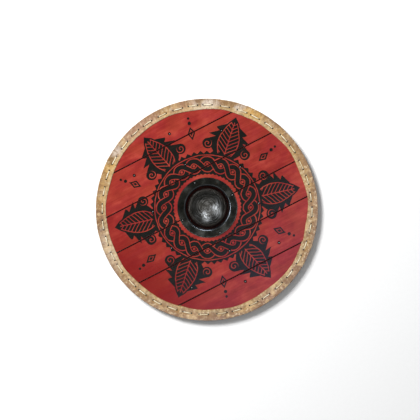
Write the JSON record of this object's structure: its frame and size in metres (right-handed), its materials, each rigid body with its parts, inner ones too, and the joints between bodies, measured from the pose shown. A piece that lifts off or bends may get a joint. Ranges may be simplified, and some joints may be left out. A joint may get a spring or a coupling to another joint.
{
  "type": "round shield",
  "caption": "Wooden round shield of edge-joined planks with a domed iron boss, a stitched rawhide edge, nailed bars on its back and painted ornament on its face.",
  "frame": {"origin": "on the plane that the bars of the back rest on, under the middle of the board", "axes": "+Z out through the boss, X along the planks, Y along the grip bar and battens"},
  "size_m": [0.7998, 0.7998, 0.1056],
  "materials": {
    "painted_wood": "hand-painted red with black ornament, satin, bare wood behind",
    "pine": "oiled, open grain",
    "rawhide": "dried rawhide, mottled cream to amber, half gloss",
    "lace": "dried rawhide lace, cream",
    "iron": "forged, blackened, brushed lighter on the crown",
    "nail_iron": "forged and blackened"
  },
  "bodies": {
    "root": {"plank_1": "painted_wood", "plank_2": "painted_wood", "plank_3": "painted_wood", "plank_4": "painted_wood", "plank_5": "painted_wood", "plank_6": "painted_wood", "rawhide_edge_1": "rawhide", "rawhide_edge_2": "rawhide", "rawhide_edge_3": "rawhide", "rawhide_edge_4": "rawhide", "edge_lacing": "lace", "boss": "iron", "grip_bar": "pine", "batten_left": "pine", "batten_right": "pine", "grip_bar_nail_1": "nail_iron", "grip_bar_nail_2": "nail_iron", "grip_bar_nail_3": "nail_iron", "grip_bar_nail_4": "nail_iron", "batten_nail_1": "nail_iron", "batten_nail_2": "nail_iron", "batten_nail_3": "nail_iron", "batten_nail_4": "nail_iron", "batten_nail_5": "nail_iron", "batten_nail_6": "nail_iron", "batten_nail_7": "nail_iron", "batten_nail_8": "nail_iron", "boss_nail_1": "nail_iron", "boss_nail_2": "nail_iron", "boss_nail_3": "nail_iron", "boss_nail_4": "nail_iron"}
  },
  "joints": []
}
